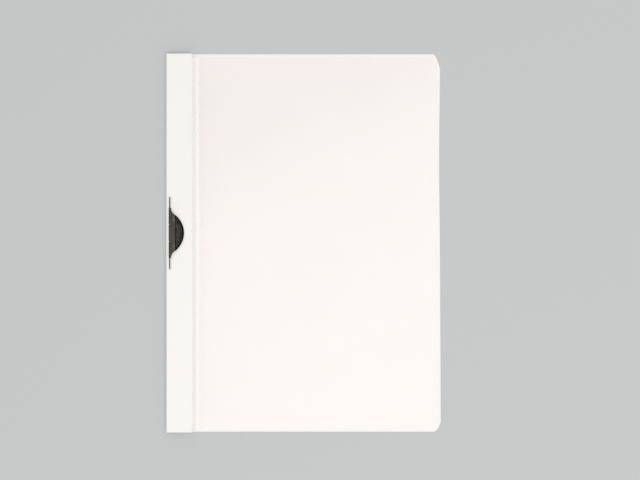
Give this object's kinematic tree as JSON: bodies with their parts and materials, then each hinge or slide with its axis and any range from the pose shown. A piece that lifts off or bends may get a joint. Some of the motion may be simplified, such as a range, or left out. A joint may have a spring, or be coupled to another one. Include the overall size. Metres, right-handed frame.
{
  "type": "presentation folder",
  "caption": "White A4 clip folder with a clear front cover and a dark half-moon swing lever on its spine strip.",
  "frame": {"origin": "middle of the folder's outline, on the face it lies on", "axes": "+X from the spine to the fore edge, +Y up the page, +Z out of the front cover"},
  "size_m": [0.225, 0.31, 0.0073],
  "materials": {
    "white_film": "satin, finely grained",
    "clear_film": "clear, smooth and glossy",
    "dark_steel": "dark gunmetal, satin",
    "spring_steel": "bright rolled"
  },
  "bodies": {
    "folder_back": {"back_cover": "white_film", "clip_channel": "spring_steel", "hinge_pin": "dark_steel"},
    "cover": {"front_cover": "clear_film"},
    "lever": {"clip_lever": "dark_steel"}
  },
  "joints": [
    {"name": "cover_hinge", "type": "hinge", "parent": "folder_back", "child": "cover", "pos_m": [-0.09125, 0, 0.0054], "axis": [0, -1, 0], "range_deg": [0, 180]},
    {"name": "clip_swing", "type": "hinge", "parent": "folder_back", "child": "lever", "pos_m": [-0.10955, 0.0082, 0.00646], "axis": [0, -1, 0], "range_deg": [0, 180]}
  ]
}
